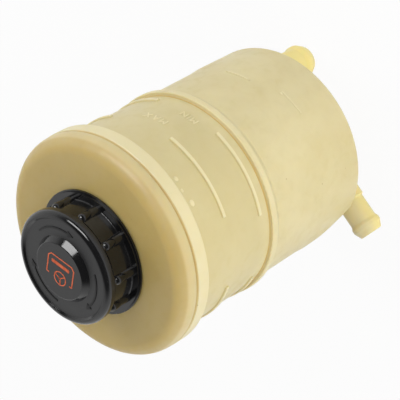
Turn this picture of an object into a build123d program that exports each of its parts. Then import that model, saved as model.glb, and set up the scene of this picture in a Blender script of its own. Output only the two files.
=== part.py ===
from build123d import *
import os

# Power steering reservoir: a moulded tank and its welded cover, two hose spigots and a screw cap.
# Millimetres, cap upwards along +Z. The origin is on the tank's axis, at the underside of the
# shoulder ring that rests on the fixing band.

# Tank shell
WALL = 2.5                 # moulded wall of tank and cover
FLOOR = 3.0                # tank floor
BODY_R = 46.2              # lower wall, which the fixing band goes round
BODY_DEPTH = 57.6          # shoulder ring's underside to the base
WELD_Z = 56.0              # weld line between tank and cover
FLANGE_PROUD = 4.2         # weld flange beyond the lower wall
FLANGE_H = 6.5
FLANGE_SLOPE = 1.6         # height of the sloping underside of the flange
UPPER_TOP_PROUD = 1.2      # drafted upper wall under the flange, beyond the lower wall
UPPER_LOW_PROUD = 0.1      # the same wall just above the shoulder
SHOULDER_PROUD = 1.9       # ring that rests on the fixing band
SHOULDER_H = 5.8
SHOULDER_FACE_H = 2.8      # upright face of the ring, above its sloping underside
FOOT_PROUD = 0.4           # soft swell of the wall above the foot
FOOT_SWELL_DROP = 29.0
FOOT_SWELL_H = 5.0
FOOT_SWELL_ROUND = 20.0
BASE_ROUND = 3.2
WELD_GROOVE = 0.7          # bevel on both sides of the weld line
FLANGE_ROOT_ROUND = 2.0
EDGE_ROUND = 0.6           # small moulded edges

# Level ribs, in arcs round the upper wall: height, and degrees from +X to the first arc's middle
HIGH_LEVEL_RIB = (32.0, 0.5)
LOW_LEVEL_RIB = (11.7, -9.3)
LEVEL_RIB_H = 2.6
LEVEL_RIB_PROUD = 0.9
LEVEL_RIB_ARC = 48.5       # degrees
LEVEL_RIB_SECTORS = 4

# Flat relief in the foot that leaves room for the return hose
RELIEF_H = 16.5            # height above the base
RELIEF_DEPTH = 3.8         # depth into the foot at the base

# Hose spigots: the return one runs under the floor along +X, the suction one points down
RETURN_Y = 11.5
RETURN_DROP = 4.4          # spigot's axis below the base
RETURN_R = 6.2
RETURN_BORE_R = 4.2
RETURN_ROOT_PROUD = 0.8    # thicker root under the floor, which stops the hose
RETURN_ROOT_INSET = 22.2   # closed inner end, in from the lower wall
RETURN_PORT_INSET = 18.2   # hole up into the tank, in from the lower wall
RETURN_STOP_INSET = 5.0    # hose stop, in from the lower wall
RETURN_REACH = 11.8        # tip, out from the lower wall
SUCTION_X = -25.4
SUCTION_Y = 17.3
SUCTION_R = 7.5
SUCTION_BORE_R = 5.5
SUCTION_REACH = 25.1       # tip below the base
SUCTION_ROOT_ROUND = 1.5
HOSE_LEAD = 3.6            # length of the tapered end
HOSE_LEAD_IN = 1.0         # tip inside the barrel's radius
HOSE_BEAD_PROUD = 0.7      # bead that holds the hose
HOSE_BEAD_LAND = 1.6
HOSE_BEAD_SLOPE = 1.4

# Cover with filler neck
COVER_SETBACK = 0.2        # cover's edge inside the flange's
COVER_H = 8.5              # weld line to the cover's face
COVER_ROUND = 6.5
NECK_R = 20.0
NECK_ROOT_ROUND = 1.0

# Screw cap
CAP_GAP = 0.5              # between the cap's flange and the cover
CAP_H = 17.6               # flange to rim
CAP_THREAD_ROOM = 1.6      # neck to the cap's bore
CAP_WALL = 2.6
CAP_FLANGE_PROUD = 4.0     # flange beyond the skirt
CAP_FLANGE_H = 1.7
CAP_FLANGE_STEP = 0.7      # set-back of the upper half of the flange's edge
CAP_HEAD_PROUD = 1.5       # rounded head beyond the skirt
CAP_HEAD_H = 4.6
CAP_HEAD_ROUND = 2.4
CAP_HEAD_UNDERCUT = 1.3    # slope from the head back to the skirt
CAP_RIM_W = 3.4            # rim round the sunk ring of the face
CAP_FACE_SINK = 0.8
CAP_FACE_W = 7.3           # width of the sunk ring
CAP_BOSS_BEVEL = 2.0
CAP_BOSS_H = 2.6
CAP_PLATE = 2.4            # thickness of the sunk ring
CAP_RIBS = 10
CAP_RIB_PHASE = 11.0       # degrees, first rib from +X
CAP_RIB_LOW_R = 2.5
CAP_RIB_TOP_R = 1.7

# Parts inside the cap
SEAL_H = 2.0
SEAL_CLEARANCE = 0.5       # seal to liner and to the cap's bore
LINER_CLEARANCE = 0.5      # liner to the neck's bore
LINER_DROP = 5.0           # from the cap's ceiling to the liner's underside
LINER_PLATE = 1.5
LINER_RIM = 1.8
LINER_NOTCHES = 4
LINER_NOTCH_W = 3.0
LINER_NOTCH_H = 1.0
VENT_HOLES = 4
VENT_HOLE_R = 0.8
VENT_CIRCLE_R = 4.4
VALVE_R = 6.4
VALVE_DISC = 1.2
VALVE_STEM_R = 2.0
VALVE_STEM_CLEARANCE = 0.1
VALVE_BULB_R = 2.9
VALVE_BULB_H = 1.8

# Strainer over the suction port
STRAINER_R = 8.0
STRAINER_H = 36.0
STRAINER_PLATE = 2.0
STRAINER_COLLAR_H = 6.0
STRAINER_COLLAR_WALL = 1.1
STRAINER_COLLAR_CLEARANCE = 0.1
STRAINER_POSTS = 4
STRAINER_POST_W = 2.2
STRAINER_POST_DEPTH = 1.0
MESH_T = 0.5

# Radii and heights that follow
flange_r = BODY_R + FLANGE_PROUD
upper_top_r = BODY_R + UPPER_TOP_PROUD
upper_low_r = BODY_R + UPPER_LOW_PROUD
shoulder_r = BODY_R + SHOULDER_PROUD
foot_r = BODY_R + FOOT_PROUD
inner_top_r = upper_top_r - WALL
inner_low_r = BODY_R - WALL
ceiling_r = inner_top_r - COVER_ROUND / 2
cover_r = flange_r - COVER_SETBACK
neck_bore_r = NECK_R - WALL
cap_bore_r = NECK_R + CAP_THREAD_ROOM
cap_skirt_r = cap_bore_r + CAP_WALL
cap_flange_r = cap_skirt_r + CAP_FLANGE_PROUD
cap_head_r = cap_skirt_r + CAP_HEAD_PROUD
cap_face_r = cap_head_r - CAP_RIM_W
cap_boss_r = cap_face_r - CAP_FACE_W
base_z = -BODY_DEPTH
floor_z = base_z + FLOOR
relief_top_z = base_z + RELIEF_H
return_z = base_z - RETURN_DROP
return_stop_x = BODY_R - RETURN_STOP_INSET
return_root_x = BODY_R - RETURN_ROOT_INSET
return_port_x = BODY_R - RETURN_PORT_INSET
return_tip_x = BODY_R + RETURN_REACH
suction_tip_z = base_z - SUCTION_REACH
flange_low_z = WELD_Z - FLANGE_H
cover_face_z = WELD_Z + COVER_H
cap_low_z = cover_face_z + CAP_GAP
cap_rim_z = cap_low_z + CAP_H
cap_flange_z = cap_low_z + CAP_FLANGE_H
cap_face_z = cap_rim_z - CAP_FACE_SINK
cap_ceiling_z = cap_face_z - CAP_PLATE
cap_head_low_z = cap_rim_z - CAP_HEAD_H
neck_top_z = cap_ceiling_z - SEAL_H
liner_r = neck_bore_r - LINER_CLEARANCE
liner_low_z = cap_ceiling_z - LINER_DROP
liner_top_z = liner_low_z + LINER_PLATE
strainer_top_z = floor_z + STRAINER_H
mesh_r = STRAINER_R - STRAINER_POST_DEPTH


def turned(*corners):
    """Solid turned about Z from corners of (radius, height) or (radius, height, rounding)."""
    points = [(corner[0], 0, corner[1]) for corner in corners]
    rounding = [corner[2] if len(corner) > 2 else 0 for corner in corners]
    outline = FilletPolyline(*points, radius=rounding, close=True)
    return revolve(make_face(outline), Axis.Z)


def ring(outer_r, inner_r, low_z, high_z):
    """Plain ring about Z."""
    return turned((inner_r, low_z), (outer_r, low_z), (outer_r, high_z), (inner_r, high_z))


def hose_end(radius, length):
    """Spigot along +Z from the origin, with a bead and a tapered lead at its free end."""
    bead_r = radius + HOSE_BEAD_PROUD
    land_z = length - HOSE_LEAD - HOSE_BEAD_LAND
    return turned((0, 0), (radius, 0), (radius, land_z - HOSE_BEAD_SLOPE), (bead_r, land_z),
                  (bead_r, length - HOSE_LEAD), (radius - HOSE_LEAD_IN, length, EDGE_ROUND), (0, length))


def wall_r(z):
    """Radius of the drafted upper wall at height z."""
    share = (z - SHOULDER_H) / (flange_low_z - SHOULDER_H)
    return upper_low_r + share * (upper_top_r - upper_low_r)


def level_rib(z, phase, sector):
    """One raised arc on the upper wall, centred on its sector."""
    sunk_r = wall_r(z) - WALL / 2
    proud_r = wall_r(z) + LEVEL_RIB_PROUD
    half = LEVEL_RIB_H / 2
    outline = FilletPolyline((sunk_r, 0, z - half), (proud_r, 0, z - half / 2),
                             (proud_r, 0, z + half / 2), (sunk_r, 0, z + half),
                             radius=0, close=True)
    arc = revolve(make_face(outline), Axis.Z, revolution_arc=LEVEL_RIB_ARC)
    middle = phase + sector * 360 / LEVEL_RIB_SECTORS
    return Rot(0, 0, middle - LEVEL_RIB_ARC / 2) * arc


def hose_relief(shift):
    """Block outside the sloping relief plane, moved outwards by shift."""
    far_x = flange_r + shift + WALL
    near_x = BODY_R - RELIEF_DEPTH + shift
    outline = Polyline((foot_r + shift, 0, relief_top_z), (far_x, 0, relief_top_z),
                       (far_x, 0, base_z), (near_x, 0, base_z), close=True)
    return extrude(make_face(outline), amount=foot_r, dir=(0, 1, 0), both=True)


def tank_outside():
    """Tank as a full solid, before its inside is taken out."""
    shell = turned((0, base_z),
                   (BODY_R, base_z, BASE_ROUND),
                   (foot_r, -FOOT_SWELL_DROP - FOOT_SWELL_H, FOOT_SWELL_ROUND),
                   (BODY_R, -FOOT_SWELL_DROP, FOOT_SWELL_ROUND),
                   (BODY_R, 0, EDGE_ROUND),
                   (shoulder_r, SHOULDER_H - SHOULDER_FACE_H, EDGE_ROUND),
                   (shoulder_r, SHOULDER_H, EDGE_ROUND),
                   (upper_low_r, SHOULDER_H, EDGE_ROUND),
                   (upper_top_r, flange_low_z - FLANGE_SLOPE, FLANGE_ROOT_ROUND),
                   (flange_r, flange_low_z, EDGE_ROUND),
                   (flange_r, WELD_Z - WELD_GROOVE),
                   (flange_r - WELD_GROOVE, WELD_Z),
                   (0, WELD_Z))
    shell -= hose_relief(0)
    for z, phase in (HIGH_LEVEL_RIB, LOW_LEVEL_RIB):
        for sector in range(LEVEL_RIB_SECTORS):
            shell += level_rib(z, phase, sector)
    return shell


def tank_body():
    """Drafted cup with weld flange, shoulder, level ribs and both spigots."""
    cavity = turned((0, floor_z), (inner_low_r, floor_z, BASE_ROUND - EDGE_ROUND),
                    (inner_top_r, WELD_Z), (0, WELD_Z)) - hose_relief(-WALL)
    tank = tank_outside() - cavity
    return_pipe = hose_end(RETURN_R, return_tip_x - return_root_x)
    root_r = RETURN_R + RETURN_ROOT_PROUD
    root_length = return_stop_x - return_root_x
    return_pipe += turned((0, 0), (root_r, 0), (root_r, root_length - RETURN_ROOT_PROUD),
                          (RETURN_R, root_length), (0, root_length))
    return_pipe += Sphere(root_r)
    tank += Pos(return_root_x, RETURN_Y, return_z) * Rot(0, 90, 0) * return_pipe
    spigot = hose_end(SUCTION_R, floor_z - suction_tip_z)
    tank += Pos(SUCTION_X, SUCTION_Y, floor_z) * Rot(180, 0, 0) * spigot
    root = turned((0, base_z), (SUCTION_R + SUCTION_ROOT_ROUND, base_z),
                  (SUCTION_R, base_z - SUCTION_ROOT_ROUND), (0, base_z - SUCTION_ROOT_ROUND))
    tank += Pos(SUCTION_X, SUCTION_Y, 0) * root
    return tank - port_bores()


def port_bores():
    """Passages of both spigots, the return one with its hole up into the tank."""
    along = return_tip_x - return_port_x
    level = Rot(0, 90, 0) * Cylinder(RETURN_BORE_R, along)
    bores = Pos(return_port_x + along / 2, RETURN_Y, return_z) * level
    rise = RETURN_R + RETURN_ROOT_PROUD + FLOOR
    bores += Pos(return_port_x, RETURN_Y, return_z + rise / 2) * Cylinder(RETURN_BORE_R, rise)
    bores += Pos(return_port_x, RETURN_Y, return_z) * Sphere(RETURN_BORE_R)
    drop = floor_z - suction_tip_z
    bores += Pos(SUCTION_X, SUCTION_Y, suction_tip_z + drop / 2) * Cylinder(SUCTION_BORE_R, drop)
    return bores


def top_cover():
    """Domed cover with the filler neck, welded to the tank's flange."""
    face_low_z = cover_face_z - WALL
    return turned((neck_bore_r, face_low_z, EDGE_ROUND),
                  (ceiling_r, face_low_z, WALL),
                  (inner_top_r, WELD_Z),
                  (cover_r - WELD_GROOVE, WELD_Z),
                  (cover_r, WELD_Z + WELD_GROOVE),
                  (cover_r, cover_face_z, COVER_ROUND),
                  (NECK_R, cover_face_z, NECK_ROOT_ROUND),
                  (NECK_R, neck_top_z, EDGE_ROUND),
                  (neck_bore_r, neck_top_z, EDGE_ROUND))


def cap_shell():
    """Cap without its grip ribs: flange, skirt, rounded head, sunk face ring and boss."""
    boss_z = cap_face_z + CAP_BOSS_H
    step_r = cap_flange_r - CAP_FLANGE_STEP
    step_z = cap_low_z + CAP_FLANGE_H / 2
    return turned((0, cap_ceiling_z),
                  (cap_bore_r, cap_ceiling_z),
                  (cap_bore_r, cap_low_z),
                  (cap_flange_r, cap_low_z),
                  (cap_flange_r, step_z),
                  (step_r, step_z),
                  (step_r, cap_flange_z),
                  (cap_skirt_r, cap_flange_z, EDGE_ROUND),
                  (cap_skirt_r, cap_head_low_z - CAP_HEAD_UNDERCUT, EDGE_ROUND),
                  (cap_head_r, cap_head_low_z, EDGE_ROUND),
                  (cap_head_r, cap_rim_z, CAP_HEAD_ROUND),
                  (cap_face_r + CAP_FACE_SINK, cap_rim_z),
                  (cap_face_r, cap_face_z),
                  (cap_boss_r, cap_face_z),
                  (cap_boss_r - CAP_BOSS_BEVEL, boss_z, EDGE_ROUND),
                  (0, boss_z))


def screw_cap():
    """Ribbed cap, each rib a tapered half-round from the flange up to the head."""
    rib_h = cap_head_low_z - cap_flange_z
    rib = Cone(CAP_RIB_LOW_R, CAP_RIB_TOP_R, rib_h)
    rib -= Pos(-CAP_RIB_LOW_R, 0, 0) * Box(2 * CAP_RIB_LOW_R, 4 * CAP_RIB_LOW_R, 2 * rib_h)
    rib = Pos(cap_skirt_r - EDGE_ROUND, 0, cap_flange_z + rib_h / 2) * rib
    cap = cap_shell()
    for number in range(CAP_RIBS):
        cap += Rot(0, 0, CAP_RIB_PHASE + number * 360 / CAP_RIBS) * rib
    return cap


def cap_seal():
    """Flat rubber ring between the neck's rim and the cap's ceiling."""
    inner_r = liner_r + SEAL_CLEARANCE
    outer_r = cap_bore_r - SEAL_CLEARANCE
    return ring(outer_r, inner_r, neck_top_z, cap_ceiling_z)


def cap_liner():
    """Inner vent plate: a dish under the cap's ceiling, with air notches and vent holes."""
    rim_r = liner_r - LINER_RIM
    liner = turned((0, liner_low_z), (liner_r, liner_low_z, EDGE_ROUND), (liner_r, cap_ceiling_z),
                   (rim_r, cap_ceiling_z), (rim_r, liner_top_z, EDGE_ROUND), (0, liner_top_z))
    notch = Pos(liner_r, 0, cap_ceiling_z) * Box(4 * LINER_RIM, LINER_NOTCH_W, 2 * LINER_NOTCH_H)
    for number in range(LINER_NOTCHES):
        liner -= Rot(0, 0, number * 360 / LINER_NOTCHES) * notch
    hole_z = liner_low_z + LINER_PLATE / 2
    liner -= Pos(0, 0, hole_z) * Cylinder(VALVE_STEM_R + VALVE_STEM_CLEARANCE, 2 * LINER_PLATE)
    vent = Pos(VENT_CIRCLE_R, 0, hole_z) * Cylinder(VENT_HOLE_R, 2 * LINER_PLATE)
    for number in range(VENT_HOLES):
        liner -= Rot(0, 0, number * 360 / VENT_HOLES) * vent
    return liner


def vent_valve():
    """Rubber mushroom valve: a disc under the liner's vent holes, held by its bulb."""
    return turned((0, liner_low_z - VALVE_DISC),
                  (VALVE_R - VALVE_DISC / 2, liner_low_z - VALVE_DISC),
                  (VALVE_R, liner_low_z),
                  (VALVE_STEM_R, liner_low_z),
                  (VALVE_STEM_R, liner_top_z),
                  (VALVE_BULB_R, liner_top_z),
                  (VALVE_STEM_R, liner_top_z + VALVE_BULB_H),
                  (0, liner_top_z + VALVE_BULB_H))


def strainer_cage():
    """Plastic cage that plugs into the suction port: base, posts and closed top."""
    collar_r = SUCTION_BORE_R - STRAINER_COLLAR_CLEARANCE
    bore_r = collar_r - STRAINER_COLLAR_WALL
    base_z = floor_z + STRAINER_PLATE
    cage = turned((bore_r, floor_z - STRAINER_COLLAR_H), (collar_r, floor_z - STRAINER_COLLAR_H),
                  (collar_r, floor_z), (STRAINER_R, floor_z), (STRAINER_R, base_z), (bore_r, base_z))
    top_z = strainer_top_z - STRAINER_PLATE
    cage += Pos(0, 0, top_z + STRAINER_PLATE / 2) * Cylinder(STRAINER_R, STRAINER_PLATE)
    posts = ring(STRAINER_R, mesh_r, base_z, top_z)
    span = Box(2 * STRAINER_R, STRAINER_POST_W, STRAINER_H)
    span = Pos(0, 0, floor_z + STRAINER_H / 2) * span
    cross = Rot(0, 0, 45) * span
    cross += Rot(0, 0, 45 + 360 / STRAINER_POSTS) * span
    cage += posts & cross
    return Pos(SUCTION_X, SUCTION_Y, 0) * cage


def strainer_mesh():
    """Fine mesh sleeve inside the cage's posts, as a thin tube."""
    sleeve = ring(mesh_r, mesh_r - MESH_T, floor_z + STRAINER_PLATE, strainer_top_z - STRAINER_PLATE)
    return Pos(SUCTION_X, SUCTION_Y, 0) * sleeve


PARTS = {
    "tank_body": tank_body,
    "top_cover": top_cover,
    "screw_cap": screw_cap,
    "cap_seal": cap_seal,
    "cap_liner": cap_liner,
    "vent_valve": vent_valve,
    "strainer_cage": strainer_cage,
    "strainer_mesh": strainer_mesh,
}

os.makedirs("parts", exist_ok=True)
for name, make in PARTS.items():
    export_step(make(), f"parts/{name}.step")
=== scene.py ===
import logging
import math
from contextlib import contextmanager
from dataclasses import dataclass
from enum import Enum
from typing import Callable, Iterator, Sequence

import bmesh
import bpy
from mathutils import Matrix, Vector


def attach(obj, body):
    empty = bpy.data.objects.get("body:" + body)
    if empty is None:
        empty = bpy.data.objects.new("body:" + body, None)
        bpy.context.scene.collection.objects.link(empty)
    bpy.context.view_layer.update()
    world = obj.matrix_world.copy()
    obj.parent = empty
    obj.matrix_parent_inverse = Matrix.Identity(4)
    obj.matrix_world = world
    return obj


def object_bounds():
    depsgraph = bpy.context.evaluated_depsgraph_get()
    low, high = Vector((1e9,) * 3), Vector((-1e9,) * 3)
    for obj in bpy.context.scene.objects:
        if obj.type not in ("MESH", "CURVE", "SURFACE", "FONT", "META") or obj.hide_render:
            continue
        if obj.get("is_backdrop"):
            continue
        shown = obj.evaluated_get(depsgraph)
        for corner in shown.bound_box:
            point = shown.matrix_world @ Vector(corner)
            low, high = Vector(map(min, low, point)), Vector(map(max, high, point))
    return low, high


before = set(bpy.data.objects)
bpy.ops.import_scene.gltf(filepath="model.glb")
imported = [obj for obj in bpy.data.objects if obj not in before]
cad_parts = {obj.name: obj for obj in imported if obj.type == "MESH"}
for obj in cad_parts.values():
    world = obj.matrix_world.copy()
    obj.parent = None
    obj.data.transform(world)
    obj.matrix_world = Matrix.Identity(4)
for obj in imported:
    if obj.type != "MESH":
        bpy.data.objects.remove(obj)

# Looks of a power steering reservoir: moulded tank and cover, screw cap, hose spigots and what is inside.
# Sizes are millimetres in the part's own frame, cap upwards; MM turns them into scene units.

LOG = logging.getLogger("reservoir")
MM = 0.001
NEAR = 0.01 * MM

Colour = tuple[float, float, float, float]
Point = tuple[float, float, float]
Pair = tuple[float, float]
Piece = bpy.types.Object
Material = bpy.types.Material
Node = bpy.types.Node
Socket = bpy.types.NodeSocket
Tree = bpy.types.NodeTree


def srgb(red: int, green: int, blue: int) -> Colour:
    """Turns a screen colour into the scene's linear one.

    Args:
        red: Red from 0 to 255.
        green: Green from 0 to 255.
        blue: Blue from 0 to 255.

    Returns:
        Linear red, green, blue and an alpha of 1.
    """
    def linear(value: int) -> float:
        """One channel, by the screen's own curve."""
        share = value / 255
        return share / 12.92 if share <= 0.04045 else ((share + 0.055) / 1.055) ** 2.4

    return (linear(red), linear(green), linear(blue), 1.0)


def round_the_axis(radius: float, degrees: float, height: float) -> Vector:
    """Gives a place in metres by radius and height in millimetres and angle from the return spigot."""
    angle = math.radians(degrees)
    return Vector((radius * math.cos(angle), radius * math.sin(angle), height)) * MM


class Body(Enum):
    """Bodies of the part that new pieces ride on."""

    TANK = "tank"
    CAP = "cap"


class Slot(Enum):
    """Material slots of the part's record."""

    NATURAL = "natural_plastic"
    BLACK = "black_plastic"


class LampDuty(Enum):
    """What a lamp is for: soft light or highlights on gloss."""

    SOFT = "soft"
    GLINT = "glint"


class ThreadSide(Enum):
    """Which way a screw thread stands out from its wall."""

    OUTSIDE = 1
    INSIDE = -1


def clear_selection() -> None:
    """Goes back to object mode with nothing selected."""
    if bpy.context.mode != "OBJECT":
        bpy.ops.object.mode_set(mode="OBJECT")
    bpy.ops.object.select_all(action="DESELECT")


def select_only(obj: Piece) -> None:
    """Makes one object the only selected and the active one.

    Args:
        obj: Object to select.
    """
    clear_selection()
    obj.select_set(True)
    bpy.context.view_layer.objects.active = obj


@contextmanager
def editing(obj: Piece) -> Iterator[None]:
    """Opens an object in edit mode with nothing selected, and closes it after.

    Args:
        obj: Mesh object to edit.

    Yields:
        Nothing. The object is in edit mode meanwhile.
    """
    select_only(obj)
    bpy.ops.object.mode_set(mode="EDIT")
    bpy.ops.mesh.select_mode(type="VERT")
    bpy.ops.mesh.select_all(action="DESELECT")
    yield
    bpy.ops.object.mode_set(mode="OBJECT")


def pick_points(obj: Piece, test: Callable[[Vector], bool]) -> None:
    """Selects the vertices that pass a test on their place.

    Args:
        obj: Mesh object in edit mode.
        test: Says whether a vertex at that place is wanted.
    """
    mesh = bmesh.from_edit_mesh(obj.data)
    for vertex in mesh.verts:
        vertex.select_set(False)
    for vertex in mesh.verts:
        if test(vertex.co):
            vertex.select_set(True)
    mesh.select_flush(True)
    bmesh.update_edit_mesh(obj.data)


def pick_faces(obj: Piece, test: Callable[[Vector, Vector], bool]) -> None:
    """Selects the faces that pass a test on their middle and normal.

    Args:
        obj: Mesh object in edit mode.
        test: Says whether a face with that middle and normal is wanted.
    """
    bpy.ops.mesh.select_mode(type="FACE")
    mesh = bmesh.from_edit_mesh(obj.data)
    for face in mesh.faces:
        face.select_set(False)
    for face in mesh.faces:
        if test(face.calc_center_median(), face.normal):
            face.select_set(True)
    bmesh.update_edit_mesh(obj.data)


def take_all() -> None:
    """Selects everything in edit mode."""
    bpy.ops.mesh.select_all(action="SELECT")


def scaled(x: float, y: float, z: float) -> None:
    """Scales what is selected about the origin."""
    bpy.ops.transform.resize(value=(x, y, z), center_override=(0, 0, 0))


def moved(x: float, y: float, z: float) -> None:
    """Moves what is selected, by millimetres."""
    bpy.ops.transform.translate(value=(x * MM, y * MM, z * MM))


def added(operator: Callable[..., object], **settings: object) -> Piece:
    """Adds one new object with nothing else selected.

    Args:
        operator: Operator that adds it.
        **settings: The operator's settings.

    Returns:
        The new object.
    """
    clear_selection()
    operator(**settings)
    return bpy.context.object


def upright_plane() -> Piece:
    """Adds a unit plane that stands along X and Z.

    Returns:
        The plane.
    """
    obj = added(bpy.ops.mesh.primitive_plane_add, size=1.0, rotation=(math.pi / 2, 0, 0))
    bpy.ops.object.transform_apply(location=False, rotation=True, scale=False)
    return obj


def flat_ring(radius: float, line_r: float, flat: float, sides: int) -> Piece:
    """Adds a level ring about the origin, with its line flattened.

    Args:
        radius: Radius of the ring in millimetres.
        line_r: Radius of its line in millimetres.
        flat: Share of the line's height that is left.
        sides: Faces round the line.

    Returns:
        The ring.
    """
    obj = added(bpy.ops.mesh.primitive_torus_add, major_radius=radius * MM, minor_radius=line_r * MM,
                major_segments=48, minor_segments=sides)
    with editing(obj):
        take_all()
        scaled(1, 1, flat)
    return obj


def on_the_wall(radius: float, degrees: float, height: float) -> Matrix:
    """Gives the place of a flat thing that lies on a round wall.

    Args:
        radius: Wall's radius in millimetres.
        degrees: Angle round the wall.
        height: Height in millimetres.

    Returns:
        A matrix whose X runs round the wall, Y upwards and Z outwards.
    """
    angle = math.radians(degrees)
    out = Vector((math.cos(angle), math.sin(angle), 0))
    place = Matrix((Vector((-out.y, out.x, 0)), (0, 0, 1), out)).transposed().to_4x4()
    place.translation = round_the_axis(radius, degrees, height)
    return place


def tidy_mesh(obj: Piece, distance: float = 0.002) -> None:
    """Merges doubled vertices and turns the normals outwards.

    Args:
        obj: Mesh object.
        distance: Merge distance in millimetres.
    """
    with editing(obj):
        take_all()
        bpy.ops.mesh.remove_doubles(threshold=distance * MM)
        bpy.ops.mesh.normals_make_consistent(inside=False)


def apply_modifier(obj: Piece, kind: str, **settings: object) -> None:
    """Adds one modifier, sets it and applies it.

    Args:
        obj: Mesh object.
        kind: Modifier type.
        **settings: Values of the modifier's own fields.
    """
    select_only(obj)
    bpy.ops.object.modifier_add(type=kind)
    modifier = obj.modifiers[-1]
    for name, value in settings.items():
        setattr(modifier, name, value)
    bpy.ops.object.modifier_apply(modifier=modifier.name)


def put_in_mesh(obj: Piece, place: Matrix) -> None:
    """Moves an object and leaves the move in its mesh.

    Args:
        obj: Mesh object at the origin.
        place: Where it goes.
    """
    obj.matrix_world = place
    select_only(obj)
    bpy.ops.object.transform_apply(location=True, rotation=True, scale=True)


def joined(pieces: Sequence[Piece]) -> Piece:
    """Joins pieces of one make into one object.

    Args:
        pieces: Mesh objects, the first of which stays.

    Returns:
        The joined object.
    """
    clear_selection()
    for piece in pieces:
        piece.select_set(True)
    bpy.context.view_layer.objects.active = pieces[0]
    if len(pieces) > 1:
        bpy.ops.object.join()
    return pieces[0]


def hand_over(obj: Piece, name: str, body: Body, material: Material,
              smooth: float = 35.0) -> Piece:
    """Names a finished piece, dresses it and lets it ride on its body.

    Args:
        obj: Finished mesh object at the origin.
        name: Its name.
        body: Body that carries it.
        material: Its material.
        smooth: Angle in degrees under which edges are shaded smooth.

    Returns:
        The same object.
    """
    obj.name = name
    obj.data.name = name
    obj.data.materials.clear()
    obj.data.materials.append(material)
    select_only(obj)
    bpy.ops.object.shade_smooth_by_angle(angle=math.radians(smooth))
    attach(obj, body.value)
    clear_selection()
    LOG.info("%s: %d faces on %s", name, len(obj.data.polygons), body.value)
    return obj


class NodeDesk:
    """Adds and links the nodes of one material or group."""

    def __init__(self, tree: Tree) -> None:
        """Takes the node tree of a material, world or group."""
        self.tree = tree

    def add(self, kind: str, **inputs: object) -> Node:
        """Adds one node and sets its inputs.

        Args:
            kind: Node type.
            **inputs: Values or sockets by input name, with _ for a space.

        Returns:
            The new node.
        """
        node = self.tree.nodes.new(kind)
        for name, value in inputs.items():
            self.feed(node, name.replace("_", " "), value)
        return node

    def feed(self, node: Node, socket: str | int, value: object) -> None:
        """Sets one input of a node, by a link or a plain value.

        Args:
            node: Node to set.
            socket: Input's name or number.
            value: Output socket or plain value.
        """
        if isinstance(value, Socket):
            self.tree.links.new(value, node.inputs[socket])
        else:
            node.inputs[socket].default_value = value

    def math(self, operation: str, first: object, second: object = 0.0) -> Socket:
        """Adds a Math node.

        Args:
            operation: Its operation.
            first: First value or socket.
            second: Second value or socket.

        Returns:
            The node's output.
        """
        node = self.tree.nodes.new("ShaderNodeMath")
        node.operation = operation
        self.feed(node, 0, first)
        self.feed(node, 1, second)
        return node.outputs[0]

    def mix(self, mask: object, first: object, second: object) -> Socket:
        """Mixes two colours by a mask.

        Args:
            mask: Share of the second colour.
            first: First colour or socket.
            second: Second colour or socket.

        Returns:
            The mixed colour.
        """
        node = self.tree.nodes.new("ShaderNodeMix")
        node.data_type = "RGBA"
        self.feed(node, 0, mask)
        self.feed(node, 6, first)
        self.feed(node, 7, second)
        return node.outputs[2]

    def spread(self, value: object, low: float, high: float, to_low: float = 0.0,
               to_high: float = 1.0) -> Socket:
        """Maps a range of values smoothly onto another.

        Args:
            value: Value or socket.
            low: Start of the old range.
            high: End of the old range.
            to_low: Start of the new range.
            to_high: End of the new range.

        Returns:
            The mapped value.
        """
        node = self.tree.nodes.new("ShaderNodeMapRange")
        node.interpolation_type = "SMOOTHSTEP"
        for number, given in enumerate((value, low, high, to_low, to_high)):
            self.feed(node, number, given)
        return node.outputs[0]

    def group(self, tree: Tree, **inputs: object) -> Socket:
        """Places a shared effect.

        Args:
            tree: Node group.
            **inputs: Its values by input name.

        Returns:
            The effect's one output.
        """
        node = self.tree.nodes.new("ShaderNodeGroup")
        node.node_tree = tree
        for name, value in inputs.items():
            self.feed(node, name, value)
        return node.outputs[0]

    def bump(self, shader: Node, height: Socket, strength: float, distance: float) -> None:
        """Lets a height shape a shader's surface, to a depth in millimetres."""
        node = self.add("ShaderNodeBump", Strength=strength, Distance=distance * MM, Height=height)
        self.feed(shader, "Normal", node.outputs[0])


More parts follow.
